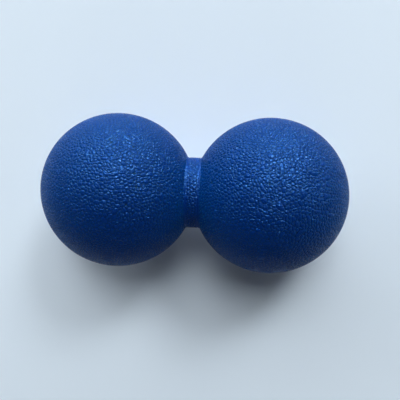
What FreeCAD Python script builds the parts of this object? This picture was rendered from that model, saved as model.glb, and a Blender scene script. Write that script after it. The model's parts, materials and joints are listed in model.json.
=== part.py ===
"""Peanut massage ball: two equal balls joined by a short round neck, moulded as one solid piece.

The part lies on its side as it is used. Its long axis runs along X, midway between the balls is X = 0,
both ball centres have Y = 0, and Z = 0 is the surface that the balls touch. Lengths are in millimetres.
"""
import FreeCAD, Part
import math
import os

import Sketcher

# Name, value and meaning of each driving dimension.
DIMENSIONS = (
    ("ball_diameter", 63.0, "across each ball"),
    ("neck_diameter", 29.0, "across the round neck that joins the balls"),
    ("neck_length", 5.7, "straight stretch of the neck, from the surface of one ball to the other's"),
    ("corner_radius", 0.7, "round in the corner where the neck runs into each ball"),
)

NODE = "massage_ball"
STEP_FOLDER = "parts"

# A sketch point is named by the geometry that it belongs to and its place there, counted from 1.
START, END, CENTRE = range(1, 4)

# The sketch's own horizontal axis, and the origin, where that axis starts.
HORIZONTAL_AXIS = -1
ORIGIN = (HORIZONTAL_AXIS, START)


def make_sheet(document):
    """The spreadsheet that holds the driving dimensions."""
    sheet = document.addObject("Spreadsheet::Sheet", "Sizes")
    for row, (name, value, meaning) in enumerate(DIMENSIONS, start=1):
        sheet.set(f"A{row}", name)
        sheet.set(f"B{row}", str(value))
        sheet.set(f"C{row}", meaning)
        sheet.setAlias(f"B{row}", name)
    document.recompute()
    return sheet


def origin_plane(body, role):
    """One of the body's own base planes."""
    return next(feature for feature in body.Origin.OriginFeatures if feature.Role == role)


def add_named_constraint(sketch, name, expression, *definition):
    """A dimension of the sketch, bound to the spreadsheet."""
    index = sketch.addConstraint(Sketcher.Constraint(*definition))
    sketch.renameConstraint(index, name)
    sketch.setExpression(f"Constraints.{name}", expression)


def draw_profile(body, sheet):
    """Half of the outline, above the long axis: ball, neck, ball, closed by the axis itself."""
    ball_radius = sheet.get("ball_diameter") / 2
    neck_radius = sheet.get("neck_diameter") / 2
    half_neck = sheet.get("neck_length") / 2
    corner_angle = math.asin(neck_radius / ball_radius)
    ball_x = half_neck + ball_radius * math.cos(corner_angle)

    sketch = body.newObject("Sketcher::SketchObject", "Half_outline")
    sketch.AttachmentSupport = [(origin_plane(body, "XZ_Plane"), "")]
    sketch.MapMode = "FlatFace"

    normal = FreeCAD.Vector(0, 0, 1)
    left_circle = Part.Circle(FreeCAD.Vector(-ball_x, 0, 0), normal, ball_radius)
    right_circle = Part.Circle(FreeCAD.Vector(ball_x, 0, 0), normal, ball_radius)
    left_corner = FreeCAD.Vector(-half_neck, neck_radius, 0)
    right_corner = FreeCAD.Vector(half_neck, neck_radius, 0)
    left_tip = FreeCAD.Vector(-ball_x - ball_radius, 0, 0)
    right_tip = FreeCAD.Vector(ball_x + ball_radius, 0, 0)

    left_ball = sketch.addGeometry(Part.ArcOfCircle(left_circle, corner_angle, math.pi))
    neck = sketch.addGeometry(Part.LineSegment(left_corner, right_corner))
    right_ball = sketch.addGeometry(Part.ArcOfCircle(right_circle, 0, math.pi - corner_angle))
    long_axis = sketch.addGeometry(Part.LineSegment(right_tip, left_tip))

    sketch.addConstraint([
        Sketcher.Constraint("Coincident", left_ball, START, neck, START),
        Sketcher.Constraint("Coincident", neck, END, right_ball, END),
        Sketcher.Constraint("Coincident", right_ball, START, long_axis, START),
        Sketcher.Constraint("Coincident", long_axis, END, left_ball, END),
        Sketcher.Constraint("PointOnObject", long_axis, START, HORIZONTAL_AXIS),
        Sketcher.Constraint("PointOnObject", long_axis, END, HORIZONTAL_AXIS),
        Sketcher.Constraint("PointOnObject", left_ball, CENTRE, HORIZONTAL_AXIS),
        Sketcher.Constraint("Symmetric", left_ball, CENTRE, right_ball, CENTRE, *ORIGIN),
        Sketcher.Constraint("Equal", left_ball, right_ball),
        Sketcher.Constraint("Horizontal", neck),
    ])
    add_named_constraint(
        sketch, "ball_diameter", "Sizes.ball_diameter",
        "Diameter", left_ball, sheet.get("ball_diameter"))
    add_named_constraint(
        sketch, "neck_radius", "Sizes.neck_diameter / 2",
        "DistanceY", *ORIGIN, neck, START, neck_radius)
    add_named_constraint(
        sketch, "neck_length", "Sizes.neck_length",
        "DistanceX", neck, START, neck, END, sheet.get("neck_length"))
    return sketch


def revolve_profile(body, sketch):
    """Both balls and the neck, turned about the long axis."""
    turned = body.newObject("PartDesign::Revolution", "Balls_and_neck")
    turned.Profile = sketch
    turned.ReferenceAxis = (sketch, ["H_Axis"])
    turned.Angle = 360
    return turned


def neck_corner_edges(turned):
    """Names of the two full circles where the neck meets the balls."""
    names = []
    for number, edge in enumerate(turned.Shape.Edges, start=1):
        if edge.isClosed() and not edge.Degenerated:
            names.append(f"Edge{number}")
    return names


def round_corners(body, turned):
    """The small round that the mould leaves in each neck corner."""
    rounds = body.newObject("PartDesign::Fillet", "Neck_corners")
    rounds.Base = (turned, neck_corner_edges(turned))
    rounds.setExpression("Radius", "Sizes.corner_radius")
    return rounds


def make_massage_ball(document, sheet):
    """The whole moulding, lifted so that both balls touch Z = 0."""
    body = document.addObject("PartDesign::Body", NODE)
    body.Label = NODE
    body.setExpression("Placement.Base.z", "Sizes.ball_diameter / 2")
    sketch = draw_profile(body, sheet)
    document.recompute()
    turned = revolve_profile(body, sketch)
    document.recompute()
    round_corners(body, turned)
    document.recompute()
    if not sketch.FullyConstrained:
        raise RuntimeError("the half outline isn't fully constrained")
    return body


def check(document, bodies):
    """Stop if anything in the document failed to build."""
    for item in document.Objects:
        if "Invalid" in item.State or "Error" in item.State:
            raise RuntimeError(f"{item.Name} did not recompute: {item.State}")
    for body in bodies:
        if body.Shape.isNull() or not body.Shape.isValid() or len(body.Shape.Solids) != 1:
            raise RuntimeError(f"{body.Label} isn't one valid solid")


def main():
    document = FreeCAD.newDocument("peanut_massage_ball")
    sheet = make_sheet(document)
    bodies = [make_massage_ball(document, sheet)]
    check(document, bodies)
    os.makedirs(STEP_FOLDER, exist_ok=True)
    for body in bodies:
        body.Shape.exportStep(f"{STEP_FOLDER}/{body.Label}.step")
        box = body.Shape.BoundBox
        print(f"{body.Label}: {box.XLength:.2f} x {box.YLength:.2f} x {box.ZLength:.2f} mm, "
              f"{body.Shape.Volume / 1000:.1f} cm3")


main()
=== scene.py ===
"""Looks of the peanut massage ball: one grained blue moulding lying on a pale sheet, seen from above.

Lengths are in metres in the part's own frame: the long axis runs along X and the sheet is at Z = 0.
Angles are in degrees, powers in watts and colours linear.
The leather grain is modelled: each pebble of it is a raised many-sided face between sunk creases.
"""

import json
import math

import bpy
from mathutils import Euler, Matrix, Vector

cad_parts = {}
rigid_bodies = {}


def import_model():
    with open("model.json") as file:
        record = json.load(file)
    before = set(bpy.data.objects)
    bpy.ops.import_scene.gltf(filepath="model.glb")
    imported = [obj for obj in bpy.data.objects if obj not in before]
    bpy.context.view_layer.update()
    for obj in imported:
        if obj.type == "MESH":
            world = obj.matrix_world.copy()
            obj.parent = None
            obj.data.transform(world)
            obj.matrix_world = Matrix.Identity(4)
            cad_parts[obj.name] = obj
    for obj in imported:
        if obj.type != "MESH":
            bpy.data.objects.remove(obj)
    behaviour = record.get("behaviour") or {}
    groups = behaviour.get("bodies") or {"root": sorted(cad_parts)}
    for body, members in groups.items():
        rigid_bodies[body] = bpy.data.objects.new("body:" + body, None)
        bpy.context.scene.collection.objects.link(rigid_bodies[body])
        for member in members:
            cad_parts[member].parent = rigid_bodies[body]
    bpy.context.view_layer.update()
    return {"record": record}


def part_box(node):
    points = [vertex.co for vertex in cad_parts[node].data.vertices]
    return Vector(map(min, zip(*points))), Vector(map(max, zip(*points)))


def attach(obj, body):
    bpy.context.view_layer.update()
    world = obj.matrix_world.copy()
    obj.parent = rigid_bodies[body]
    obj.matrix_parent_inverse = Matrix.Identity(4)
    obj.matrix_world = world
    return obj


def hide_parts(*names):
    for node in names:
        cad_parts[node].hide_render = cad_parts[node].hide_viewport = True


MM = 0.001

# The moulding's smooth form. The frame gives its other sizes.
BALL_SUBDIVISIONS = 7
CORNER_RADIUS = 0.7 * MM
CORNER_STEPS = 3
NECK_SUBDIVISIONS = 6
NECK_MARGIN = 0.3 * MM

# Leather grain: pebbles scattered at random, no closer than the gap, with creases between them.
PEBBLE_GAP = 0.95 * MM
PEBBLES_TRIED = 1.7 / (MM * MM)
JOINED_SHARE = 0.02
CREASE_HALF_WIDTH = 0.19 * MM
GRAIN_DEPTH = 0.15 * MM
TOP_UNEVENNESS = 0.02 * MM
LEAST_PEBBLE_AREA = 0.5 * MM * MM
LEFT_SEED, NECK_SEED, RIGHT_SEED = 3, 5, 8

# Finer wrinkles across the pebbles, in the material's bump. A flank is a share of the width.
WRINKLE_WIDTH = 0.8 * MM
WRINKLE_DEPTH = 0.09 * MM
WRINKLE_FLANK = 0.25
PEBBLE_RISE = 0.05 * MM

# Blue elastomer: a deep blue under a faint blue gloss, with a light blue bloom towards the rims. The
# creases' blue is darkened as painted shade.
BLUE = (0.0005, 0.019, 0.163)
# Painted shade: the share of the blue that is left in the creases' base colour.
PAINTED_CREASE_SHADE = 0.16
PEBBLE_ROUGHNESS = 0.27
CREASE_ROUGHNESS = 0.60
GLOSS_LEVEL = 0.065
GLOSS_TINT = (0.19, 0.53, 1)
BLOOM_WEIGHT = 0.16
BLOOM_ROUGHNESS = 0.6
BLOOM_TINT = (0, 0.44, 1)

# The sheet under the ball, and the even background past its edges.
SHEET_SIZE = 6.0
SHEET_COLOUR = (0.705, 0.825, 0.935)
SHEET_ROUGHNESS = 0.9
BACKGROUND_COLOUR = (0.67, 0.80, 0.92)

# Camera: place, lean about Y, turn about Z, and focal length and width of the image in pixels.
CAMERA_PLACE = (11.6 * MM, -2.6 * MM, 216.6 * MM)
CAMERA_LEAN = 2.77
CAMERA_TURN = 2.28
FOCAL_PIXELS = 447.5
IMAGE_PIXELS = 400
SENSOR_WIDTH = 36.0

# Soft boxes: their distance from the ball, and the width and height of each kind.
LIGHT_DISTANCE = 2.5
SOFT_BOX = (1.1, 1.1)
WINDOW = (0.6, 0.6)
WALL = (1.8, 1.1)
WIDE_PANEL = (2.6, 1.1)

# Colours of the light: plain, of the open sky, and of the sky low down as the gloss shows it.
WHITE = (1, 1, 1)
SKY_BLUE = (0.4, 0.8, 1)
DEEP_SKY_BLUE = (0.15, 0.5, 1)

# Layout of the moulding's map: widest turn within one island, and the space round each.
MAP_ANGLE = 66
MAP_MARGIN = 0.004


class Wire:
    """A node's output. Arithmetic on it adds Math nodes, or Vector Math nodes where it is a vector."""

    def __init__(self, tree, socket):
        self.tree = tree
        self.socket = socket

    def combine(self, operation, first, second):
        kind = "ShaderNodeMath"
        if self.socket.type in ("VECTOR", "RGBA"):
            kind = "ShaderNodeVectorMath"
        return self.tree.node(kind, {"operation": operation}, {0: first, 1: second})

    def __add__(self, other):
        return self.combine("ADD", self, other)

    def __radd__(self, other):
        return self.combine("ADD", other, self)

    def __sub__(self, other):
        return self.combine("SUBTRACT", self, other)

    def __rsub__(self, other):
        return self.combine("SUBTRACT", other, self)

    def __mul__(self, other):
        return self.combine("MULTIPLY", self, other)

    def __rmul__(self, other):
        return self.combine("MULTIPLY", other, self)


class Tree:
    """A node tree of a material or a modifier."""

    def __init__(self, tree):
        self.tree = tree

    def node(self, kind, settings=None, sockets=None, output=0):
        """Adds a node: its settings first, then the values or wires of its sockets. Returns one output."""
        node = self.tree.nodes.new(kind)
        for name, value in (settings or {}).items():
            setattr(node, name, value)
        for name, value in (sockets or {}).items():
            if isinstance(value, Wire):
                self.tree.links.new(value.socket, node.inputs[name])
            else:
                node.inputs[name].default_value = value
        return Wire(self, node.outputs[output])


def new_material(name):
    """A material with an empty tree but for its Principled shader, and that shader's node."""
    material = bpy.data.materials.new(name)
    material.use_nodes = True
    shader = material.node_tree.nodes["Principled BSDF"]
    return material, Tree(material.node_tree), shader


def join(tree, wire, shader, socket_name):
    """Feeds a wire to one of the shader's sockets."""
    tree.tree.links.new(wire.socket, shader.inputs[socket_name])


def blue_elastomer():
    """Soft blue moulded plastic: satin pebbles with finer wrinkles across them, and dull creases whose blue
    is darkened as painted shade.
    """
    material, tree, shader = new_material("grained_blue_elastomer")
    place = tree.node("ShaderNodeTexCoord", output="Object")
    raised = tree.node("ShaderNodeAttribute", {"attribute_name": "pebble"}, output="Fac")
    pebble = tree.node("ShaderNodeMapRange", {"interpolation_type": "SMOOTHSTEP"}, {"Value": raised})
    to_wrinkle = tree.node(
        "ShaderNodeTexVoronoi", {"feature": "DISTANCE_TO_EDGE"},
        {"Vector": place, "Scale": 1 / WRINKLE_WIDTH}, "Distance")
    smooth = tree.node(
        "ShaderNodeMapRange", {"interpolation_type": "SMOOTHSTEP"},
        {"Value": to_wrinkle, "From Max": WRINKLE_FLANK})
    height = pebble * PEBBLE_RISE + smooth * WRINKLE_DEPTH
    bump = tree.node("ShaderNodeBump", {}, {"Height": height, "Distance": 1.0, "Strength": 1.0})
    join(tree, bump, shader, "Normal")
    # Painted shade: the base colour darkens from the pebbles' tops down into the creases.
    painted_shade = pebble * (1 - PAINTED_CREASE_SHADE) + PAINTED_CREASE_SHADE
    colour = tree.node("ShaderNodeVectorMath", {"operation": "SCALE"}, {0: BLUE, "Scale": painted_shade})
    join(tree, colour, shader, "Base Color")
    join(tree, CREASE_ROUGHNESS - pebble * (CREASE_ROUGHNESS - PEBBLE_ROUGHNESS), shader, "Roughness")
    shader.inputs["Specular IOR Level"].default_value = GLOSS_LEVEL
    shader.inputs["Specular Tint"].default_value = (*GLOSS_TINT, 1)
    shader.inputs["Sheen Weight"].default_value = BLOOM_WEIGHT
    shader.inputs["Sheen Roughness"].default_value = BLOOM_ROUGHNESS
    shader.inputs["Sheen Tint"].default_value = (*BLOOM_TINT, 1)
    return material


def pale_sheet():
    """The matt sheet that the ball lies on, without gloss."""
    material, _, shader = new_material("pale_sheet")
    shader.inputs["Base Color"].default_value = (*SHEET_COLOUR, 1)
    shader.inputs["Roughness"].default_value = SHEET_ROUGHNESS
    shader.inputs["Specular IOR Level"].default_value = 0
    return material


def only(piece):
    """Leaves this piece alone selected and active."""
    bpy.ops.object.select_all(action="DESELECT")
    piece.select_set(True)
    bpy.context.view_layer.objects.active = piece


def on_ball(tree, geometry, centre, radius):
    """Moves all points of a geometry straight out or in to the ball's surface."""
    direction = tree.node(
        "ShaderNodeVectorMath", {"operation": "NORMALIZE"},
        {0: tree.node("GeometryNodeInputPosition") - centre})
    reach = tree.node("ShaderNodeVectorMath", {"operation": "SCALE"}, {0: direction, "Scale": radius})
    return tree.node("GeometryNodeSetPosition", {}, {"Geometry": geometry, "Position": reach + centre})


def add_cell_ball(centre, radius, subdivisions, seed):
    """A closed ball of irregular many-sided cells: the dual of the hull of points scattered over it."""
    bpy.ops.object.select_all(action="DESELECT")
    bpy.ops.mesh.primitive_ico_sphere_add(
        subdivisions=subdivisions, radius=radius, location=centre, calc_uvs=False)
    ball = bpy.context.object
    bpy.ops.object.transform_apply(location=True, rotation=True, scale=True)

    group = bpy.data.node_groups.new("Pebble cells", "GeometryNodeTree")
    group.interface.new_socket("Geometry", in_out="INPUT", socket_type="NodeSocketGeometry")
    group.interface.new_socket("Geometry", in_out="OUTPUT", socket_type="NodeSocketGeometry")
    tree = Tree(group)
    points = tree.node(
        "GeometryNodeDistributePointsOnFaces", {"distribute_method": "POISSON"},
        {"Mesh": tree.node("NodeGroupInput"), "Distance Min": PEBBLE_GAP,
         "Density Max": PEBBLES_TRIED, "Seed": seed})
    hull = tree.node("GeometryNodeConvexHull", {}, {"Geometry": on_ball(tree, points, centre, radius)})
    cells = on_ball(tree, tree.node("GeometryNodeDualMesh", {}, {"Mesh": hull}), centre, radius)
    output = group.nodes.new("NodeGroupOutput")
    group.links.new(cells.socket, output.inputs["Geometry"])

    modifier = ball.modifiers.new("Pebble cells", "NODES")
    modifier.node_group = group
    bpy.ops.object.modifier_apply(modifier=modifier.name)

    bpy.ops.object.mode_set(mode="EDIT")
    bpy.ops.mesh.select_mode(type="EDGE")
    bpy.ops.mesh.select_all(action="DESELECT")
    bpy.ops.mesh.select_random(ratio=JOINED_SHARE, seed=seed)
    bpy.ops.mesh.dissolve_edges()
    bpy.ops.object.mode_set(mode="OBJECT")
    return ball


def corner_rings(ball_radius, neck_radius, ball_x):
    """Distance from the middle and radius of each ring of the corner round, from the ball to the neck."""
    reach = ball_radius + CORNER_RADIUS
    round_centre_height = neck_radius + CORNER_RADIUS
    start_angle = math.asin(round_centre_height / reach)
    round_centre_x = ball_x - reach * math.cos(start_angle)
    rings = []
    for step in range(CORNER_STEPS + 1):
        angle = start_angle + (math.pi / 2 - start_angle) * step / CORNER_STEPS
        rings.append((
            round_centre_x + CORNER_RADIUS * math.cos(angle),
            round_centre_height - CORNER_RADIUS * math.sin(angle)))
    return rings


def cut_off(piece, plane_x, away):
    """Cuts a ball of cells at a plane across the long axis and drops what lies on the side named by away."""
    only(piece)
    bpy.ops.object.mode_set(mode="EDIT")
    bpy.ops.mesh.select_mode(type="EDGE")
    bpy.ops.mesh.select_all(action="SELECT")
    bpy.ops.mesh.bisect(plane_co=(plane_x, 0, 0), plane_no=(away, 0, 0), clear_outer=True)


def add_ball(side, ball_radius, centre_x, centre_z, rings, seed):
    """One ball, cut off where the corner round starts and extruded through the round."""
    ball = add_cell_ball((side * centre_x, 0, centre_z), ball_radius, BALL_SUBDIVISIONS, seed)
    x = rings[0][0]
    radius = math.sqrt(ball_radius ** 2 - (centre_x - x) ** 2)
    cut_off(ball, side * x, -side)
    for new_x, new_radius in rings[1:]:
        bpy.ops.mesh.extrude_region_move(TRANSFORM_OT_translate={"value": (side * (new_x - x), 0, 0)})
        scale = new_radius / radius
        bpy.ops.transform.resize(value=(1, scale, scale), center_override=(side * new_x, 0, centre_z))
        x, radius = new_x, new_radius
    bpy.ops.object.mode_set(mode="OBJECT")
    return ball


def add_neck(neck_radius, half_length, centre_z):
    """The neck: the band round a ball of cells of its own radius, drawn out to a true tube."""
    neck = add_cell_ball((0, 0, centre_z), neck_radius, NECK_SUBDIVISIONS, NECK_SEED)
    cut_off(neck, half_length, 1)
    bpy.ops.mesh.select_all(action="SELECT")
    bpy.ops.mesh.bisect(plane_co=(-half_length, 0, 0), plane_no=(-1, 0, 0), clear_outer=True)
    bpy.ops.object.mode_set(mode="OBJECT")
    for point in neck.data.vertices:
        stretch = neck_radius / math.hypot(point.co.y, point.co.z - centre_z)
        point.co.y *= stretch
        point.co.z = centre_z + (point.co.z - centre_z) * stretch
    return neck


def bridge_open_rings(piece, side):
    """Joins the neck's open ring on one side to the ring of the corner round beside it."""
    only(piece)
    bpy.ops.object.mode_set(mode="EDIT")
    bpy.ops.mesh.select_mode(type="EDGE")
    bpy.ops.mesh.select_all(action="DESELECT")
    bpy.ops.mesh.select_non_manifold(
        use_wire=False, use_boundary=True, use_multi_face=False, use_non_contiguous=False, use_verts=False)
    bpy.ops.object.mode_set(mode="OBJECT")
    points = piece.data.vertices
    for edge in piece.data.edges:
        if edge.select and points[edge.vertices[0]].co.x * side < 0:
            edge.select = False
    for point in points:
        point.select = False
    bpy.ops.object.mode_set(mode="EDIT")
    bpy.ops.mesh.bridge_edge_loops()
    bpy.ops.object.mode_set(mode="OBJECT")


def lay_out_map(piece):
    """Turns all faces outwards and lays out the piece's own map while its faces are still smooth."""
    only(piece)
    bpy.ops.object.mode_set(mode="EDIT")
    bpy.ops.mesh.select_all(action="SELECT")
    bpy.ops.mesh.normals_make_consistent(inside=False)
    bpy.ops.uv.smart_project(angle_limit=math.radians(MAP_ANGLE), island_margin=MAP_MARGIN)
    bpy.ops.object.mode_set(mode="OBJECT")
    piece.data.uv_layers[0].name = "OFBake"


def between(face, near, far):
    """Whether a face lies between two distances from the middle, on either side of it."""
    return near < abs(face.center.x) < far


def raise_pebbles(piece, round_start, round_end):
    """Raises a pebble from each cell, and marks what is raised with 1 and the creases with 0.

    The corner rounds, between these two distances from the middle, are smooth and raised already.
    """
    only(piece)
    bpy.ops.object.mode_set(mode="EDIT")
    bpy.ops.mesh.select_mode(type="FACE")
    bpy.ops.mesh.select_all(action="DESELECT")
    bpy.ops.object.mode_set(mode="OBJECT")
    for face in piece.data.polygons:
        face.select = face.area > LEAST_PEBBLE_AREA and not between(face, round_start, round_end)
    bpy.ops.object.mode_set(mode="EDIT")
    bpy.ops.mesh.inset(
        thickness=CREASE_HALF_WIDTH, depth=GRAIN_DEPTH, use_individual=True, use_even_offset=False)
    bpy.ops.transform.vertex_random(offset=TOP_UNEVENNESS, normal=1.0, seed=NECK_SEED)
    bpy.ops.object.mode_set(mode="OBJECT")
    mark = piece.data.attributes.new("pebble", "FLOAT", "POINT")
    for face in piece.data.polygons:
        if face.select or between(face, round_start, round_end):
            for corner in face.vertices:
                mark.data[corner].value = 1.0
    bpy.ops.object.shade_smooth()


def make_moulding(frame):
    """The whole ball, in place of the plain solid.

    Balls and neck are made at the level of the creases' floor, and the pebbles then reach the solid's
    surface. The corner rounds are made at that surface.
    """
    mount = frame["record"]["mounts"][0]
    axis_height = mount["pos_m"][2]
    neck_radius = mount["dims"]["r_mm"] * MM
    ball_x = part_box("massage_ball")[1].x - axis_height
    rings = corner_rings(axis_height, neck_radius, ball_x)
    sunk = GRAIN_DEPTH + TOP_UNEVENNESS
    neck_end = rings[-1][0] - NECK_MARGIN
    piece = add_neck(neck_radius - sunk, neck_end, axis_height)
    left_ball = add_ball(-1, axis_height - sunk, ball_x, axis_height, rings, LEFT_SEED)
    right_ball = add_ball(1, axis_height - sunk, ball_x, axis_height, rings, RIGHT_SEED)
    only(piece)
    left_ball.select_set(True)
    right_ball.select_set(True)
    bpy.ops.object.join()
    bpy.ops.object.transform_apply(location=True, rotation=True, scale=True)
    piece.name = "grained_ball"
    bridge_open_rings(piece, -1)
    bridge_open_rings(piece, 1)
    lay_out_map(piece)
    raise_pebbles(piece, neck_end, rings[0][0])
    piece.data.materials.append(blue_elastomer())
    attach(piece, "root")
    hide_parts("massage_ball")


def make_sheet():
    """The pale sheet under the ball."""
    bpy.ops.object.select_all(action="DESELECT")
    bpy.ops.mesh.primitive_plane_add(size=SHEET_SIZE, location=(0, 0, 0))
    sheet = bpy.context.object
    sheet.name = "pale_sheet"
    sheet.data.materials.append(pale_sheet())


def add_soft_light(name, azimuth, elevation, size, power, colour=WHITE):
    """A soft box aimed at the ball. Azimuth 0 is beyond the ball, at +Y, and 90 is at +X."""
    data = bpy.data.lights.new(name, "AREA")
    data.shape = "RECTANGLE"
    data.size, data.size_y = size
    data.energy = power
    data.color = colour
    light = bpy.data.objects.new(name, data)
    bpy.context.scene.collection.objects.link(light)
    across = math.cos(math.radians(elevation))
    direction = Vector((
        math.sin(math.radians(azimuth)) * across,
        math.cos(math.radians(azimuth)) * across,
        math.sin(math.radians(elevation))))
    light.location = direction * LIGHT_DISTANCE
    light.rotation_euler = direction.to_track_quat("Z", "Y").to_euler()
    light.visible_camera = False
    return light


def make_lights():
    """Daylight from high beyond the ball, weak light from low down, and panels that only the gloss shows."""
    add_soft_light("sky", 0, 62, SOFT_BOX, 26)
    add_soft_light("window", 28, 43, WINDOW, 21)
    add_soft_light("wall", -15, 43, WALL, 10)
    scattered = [
        add_soft_light("low_left", -30, 8, SOFT_BOX, 30),
        add_soft_light("low_middle", 0, 8, SOFT_BOX, 11),
        add_soft_light("low_right", 30, 8, SOFT_BOX, 20),
        add_soft_light("far_left", -60, 25, SOFT_BOX, 12),
        add_soft_light("room", 180, 25, SOFT_BOX, 4),
    ]
    for light in scattered:
        light.visible_glossy = False
    gleams = [
        add_soft_light("wide_gleam", 0, 36, WIDE_PANEL, 1040, SKY_BLUE),
        add_soft_light("window_gleam", 15, 38, WINDOW, 400),
        add_soft_light("low_gleam", 0, 13, WIDE_PANEL, 200, DEEP_SKY_BLUE),
    ]
    for light in gleams:
        light.visible_diffuse = False


def make_background():
    """A pale even background, for the camera and for what the gloss shows. It lights nothing else."""
    world = bpy.data.worlds.new("background")
    world.use_nodes = True
    tree = Tree(world.node_tree)
    seen = tree.node("ShaderNodeLightPath", output="Is Camera Ray")
    seen = seen + tree.node("ShaderNodeLightPath", output="Is Glossy Ray")
    seen = seen + tree.node("ShaderNodeLightPath", output="Is Transmission Ray")
    background = world.node_tree.nodes["Background"]
    background.inputs["Color"].default_value = (*BACKGROUND_COLOUR, 1)
    join(tree, seen, background, "Strength")
    bpy.context.scene.world = world


def make_camera():
    """The camera looks almost straight down, from above the middle of the ball."""
    data = bpy.data.cameras.new("camera")
    data.sensor_width = SENSOR_WIDTH
    data.lens = SENSOR_WIDTH * FOCAL_PIXELS / IMAGE_PIXELS
    data.clip_start = 0.01
    camera = bpy.data.objects.new("camera", data)
    camera.location = CAMERA_PLACE
    camera.rotation_euler = Euler((0, math.radians(CAMERA_LEAN), math.radians(CAMERA_TURN)))
    bpy.context.scene.collection.objects.link(camera)
    bpy.context.scene.camera = camera


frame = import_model()
make_moulding(frame)
make_sheet()
make_lights()
make_background()
make_camera()
bpy.context.scene.view_settings.view_transform = "Standard"
